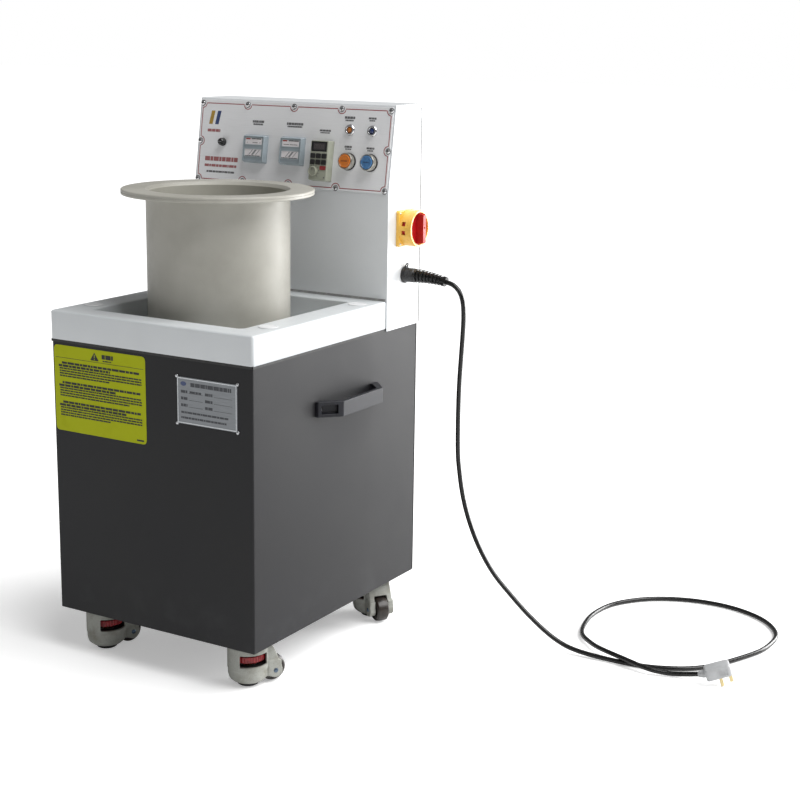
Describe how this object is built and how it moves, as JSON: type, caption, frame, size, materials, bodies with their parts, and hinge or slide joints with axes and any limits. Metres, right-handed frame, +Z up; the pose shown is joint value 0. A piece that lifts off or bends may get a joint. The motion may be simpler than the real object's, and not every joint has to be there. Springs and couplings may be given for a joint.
{
  "type": "magnetic polishing machine",
  "caption": "Floor-standing magnetic polishing machine: a flanged plastic tub over a spinning magnet disc, with a control console and levelling casters.",
  "frame": {"origin": "centre of the machine's footprint on the floor, measured without the free cord and plug", "axes": "+Z up, the front faces -Y, the isolator and the cord are on the +X side"},
  "size_m": [1.1788, 0.9083, 1.0173],
  "materials": {
    "cabinet_shell": "fine textured powder coat, charcoal grey",
    "base_plate": "powder-coated steel",
    "rear_panel": "fine textured powder coat, charcoal grey",
    "motor_bridge": "painted folded steel",
    "drive_motor": "painted cast aluminium",
    "top_tray": "smooth light grey-white powder coat",
    "rim_cap": "light grey moulded plastic",
    "console_shell": "smooth light grey-white powder coat",
    "console_rear_cover": "smooth light grey-white powder coat",
    "control_panel": "satin silver plate",
    "timer": "grey-blue moulded plastic with pale windows",
    "keypad": "grey-green moulded plastic with a dark display",
    "inverter_body": "dark moulded plastic",
    "lamp_amber": "chromed bezel with an amber lens",
    "lamp_blue": "chromed bezel with a blue lens",
    "button_bezel": "satin chromed bezel",
    "cap_orange": "orange translucent plastic",
    "cap_blue": "blue translucent plastic",
    "fuse": "black moulded plastic",
    "isolator_plate": "yellow moulded plastic",
    "isolator_knob": "red moulded plastic",
    "switch_block": "black moulded plastic",
    "gland": "black nylon",
    "relief": "black ribbed rubber",
    "cord": "black rubber sheath",
    "plug": "white moulded plastic",
    "pin": "nickelled brass, dulled",
    "handle": "dark grey satin plastic",
    "tub": "warm grey welded polypropylene",
    "magnet_disc": "machined aluminium with set-in magnets",
    "hub": "turned steel",
    "speed_knob": "grey moulded plastic",
    "stop_key": "red moulded key",
    "housing": "cream-grey painted die casting",
    "wheel": "black nylon roller",
    "thumbwheel": "red ribbed nylon",
    "pad": "black rubber foot on a steel stem"
  },
  "bodies": {
    "frame": {"cabinet_shell": "cabinet_shell", "base_plate": "base_plate", "rear_panel": "rear_panel", "motor_bridge": "motor_bridge", "drive_motor": "drive_motor", "top_tray": "top_tray", "rim_cap_1": "rim_cap", "rim_cap_2": "rim_cap", "rim_cap_3": "rim_cap", "rim_cap_4": "rim_cap", "console_shell": "console_shell", "console_rear_cover": "console_rear_cover", "control_panel": "control_panel", "timer_left": "timer", "timer_right": "timer", "inverter_keypad": "keypad", "inverter_body": "inverter_body", "running_lamp": "lamp_amber", "power_lamp": "lamp_blue", "start_button_bezel": "button_bezel", "stop_button_bezel": "button_bezel", "fuse_holder": "fuse", "isolator_plate": "isolator_plate", "isolator_switch_block": "switch_block", "cable_gland": "gland", "strain_relief": "relief", "mains_cord": "cord", "plug_body": "plug", "plug_pin_earth": "pin", "plug_pin_live": "pin", "plug_pin_neutral": "pin", "handle_right": "handle", "handle_left": "handle"},
    "tub_body": {"tub": "tub"},
    "magnet_rotor": {"magnet_disc": "magnet_disc", "drive_hub": "hub"},
    "start_cap": {"start_button_cap": "cap_orange"},
    "stop_cap": {"stop_button_cap": "cap_blue"},
    "speed_dial": {"speed_knob": "speed_knob"},
    "stop_key_cap": {"stop_key": "stop_key"},
    "isolator_dial": {"isolator_knob": "isolator_knob"},
    "front_right_housing": {"caster_front_right_housing": "housing"},
    "front_right_wheel": {"caster_front_right_wheel": "wheel"},
    "front_right_thumbwheel": {"caster_front_right_thumbwheel": "thumbwheel"},
    "front_right_pad": {"caster_front_right_pad": "pad"},
    "front_left_housing": {"caster_front_left_housing": "housing"},
    "front_left_wheel": {"caster_front_left_wheel": "wheel"},
    "front_left_thumbwheel": {"caster_front_left_thumbwheel": "thumbwheel"},
    "front_left_pad": {"caster_front_left_pad": "pad"},
    "rear_right_housing": {"caster_rear_right_housing": "housing"},
    "rear_right_wheel": {"caster_rear_right_wheel": "wheel"},
    "rear_right_thumbwheel": {"caster_rear_right_thumbwheel": "thumbwheel"},
    "rear_right_pad": {"caster_rear_right_pad": "pad"},
    "rear_left_housing": {"caster_rear_left_housing": "housing"},
    "rear_left_wheel": {"caster_rear_left_wheel": "wheel"},
    "rear_left_thumbwheel": {"caster_rear_left_thumbwheel": "thumbwheel"},
    "rear_left_pad": {"caster_rear_left_pad": "pad"}
  },
  "joints": [
    {"name": "tub_lift", "type": "slide", "parent": "frame", "child": "tub_body", "axis": [0, 0, 1], "range_m": [0, 0.3]},
    {"name": "magnet_spin", "type": "hinge", "parent": "frame", "child": "magnet_rotor", "pos_m": [-0.0039, -0.068, 0.5623], "axis": [0, 0, 1], "continuous": true},
    {"name": "start_button_press", "type": "slide", "parent": "frame", "child": "start_cap", "axis": [0, 0.9887, -0.1498], "range_m": [0, 0.003], "stiffness_N_per_m": 900, "springref_m": -0.0015},
    {"name": "stop_button_press", "type": "slide", "parent": "frame", "child": "stop_cap", "axis": [0, 0.9887, -0.1498], "range_m": [0, 0.003], "stiffness_N_per_m": 900, "springref_m": -0.0015},
    {"name": "stop_key_press", "type": "slide", "parent": "frame", "child": "stop_key_cap", "axis": [0, 0.9887, -0.1498], "range_m": [0, 0.0008], "stiffness_N_per_m": 900, "springref_m": -0.0005},
    {"name": "speed_dial_turn", "type": "hinge", "parent": "frame", "child": "speed_dial", "pos_m": [0.0641, 0.13706, 0.89013], "axis": [0, -0.9887, 0.1498], "range_deg": [-270, 0]},
    {"name": "isolator_turn", "type": "hinge", "parent": "frame", "child": "isolator_dial", "pos_m": [0.2524, 0.2185, 0.787], "axis": [1, 0, 0], "range_deg": [0, 90]},
    {"name": "front_right_swivel", "type": "hinge", "parent": "frame", "child": "front_right_housing", "pos_m": [0.1621, -0.214, 0.06], "axis": [0, 0, 1], "continuous": true},
    {"name": "front_right_roll", "type": "hinge", "parent": "front_right_housing", "child": "front_right_wheel", "pos_m": [0.18606, -0.1771, 0.0255], "axis": [0.8387, -0.5446, 0], "continuous": true},
    {"name": "front_right_pad_lift", "type": "slide", "parent": "front_right_housing", "child": "front_right_pad", "axis": [0, 0, 1], "range_m": [0, 0.0061]},
    {"name": "front_right_thumb_turn", "type": "hinge", "parent": "front_right_housing", "child": "front_right_thumbwheel", "pos_m": [0.1621, -0.214, 0.056], "axis": [0, 0, 1], "range_deg": [0, 1080]},
    {"name": "front_left_swivel", "type": "hinge", "parent": "frame", "child": "front_left_housing", "pos_m": [-0.1699, -0.214, 0.06], "axis": [0, 0, 1], "continuous": true},
    {"name": "front_left_roll", "type": "hinge", "parent": "front_left_housing", "child": "front_left_wheel", "pos_m": [-0.15342, -0.1732, 0.0255], "axis": [0.9272, -0.3746, 0], "continuous": true},
    {"name": "front_left_pad_lift", "type": "slide", "parent": "front_left_housing", "child": "front_left_pad", "axis": [0, 0, 1], "range_m": [0, 0.0061]},
    {"name": "front_left_thumb_turn", "type": "hinge", "parent": "front_left_housing", "child": "front_left_thumbwheel", "pos_m": [-0.1699, -0.214, 0.056], "axis": [0, 0, 1], "range_deg": [0, 1080]},
    {"name": "rear_right_swivel", "type": "hinge", "parent": "frame", "child": "rear_right_housing", "pos_m": [0.1621, 0.206, 0.06], "axis": [0, 0, 1], "continuous": true},
    {"name": "rear_right_roll", "type": "hinge", "parent": "rear_right_housing", "child": "rear_right_wheel", "pos_m": [0.19814, 0.18076, 0.0255], "axis": [-0.5736, -0.8192, 0], "continuous": true},
    {"name": "rear_right_pad_lift", "type": "slide", "parent": "rear_right_housing", "child": "rear_right_pad", "axis": [0, 0, 1], "range_m": [0, 0.0061]},
    {"name": "rear_right_thumb_turn", "type": "hinge", "parent": "rear_right_housing", "child": "rear_right_thumbwheel", "pos_m": [0.1621, 0.206, 0.056], "axis": [0, 0, 1], "range_deg": [0, 1080]},
    {"name": "rear_left_swivel", "type": "hinge", "parent": "frame", "child": "rear_left_housing", "pos_m": [-0.1699, 0.206, 0.06], "axis": [0, 0, 1], "continuous": true},
    {"name": "rear_left_roll", "type": "hinge", "parent": "rear_left_housing", "child": "rear_left_wheel", "pos_m": [-0.20361, 0.23428, 0.0255], "axis": [0.6428, 0.766, 0], "continuous": true},
    {"name": "rear_left_pad_lift", "type": "slide", "parent": "rear_left_housing", "child": "rear_left_pad", "axis": [0, 0, 1], "range_m": [0, 0.0061]},
    {"name": "rear_left_thumb_turn", "type": "hinge", "parent": "rear_left_housing", "child": "rear_left_thumbwheel", "pos_m": [-0.1699, 0.206, 0.056], "axis": [0, 0, 1], "range_deg": [0, 1080]}
  ],
  "couplings": [
    {"joint": "front_right_pad_lift", "follows": "front_right_thumb_turn", "m_per_rad": 0.00031831},
    {"joint": "front_left_pad_lift", "follows": "front_left_thumb_turn", "m_per_rad": 0.00031831},
    {"joint": "rear_right_pad_lift", "follows": "rear_right_thumb_turn", "m_per_rad": 0.00031831},
    {"joint": "rear_left_pad_lift", "follows": "rear_left_thumb_turn", "m_per_rad": 0.00031831}
  ]
}
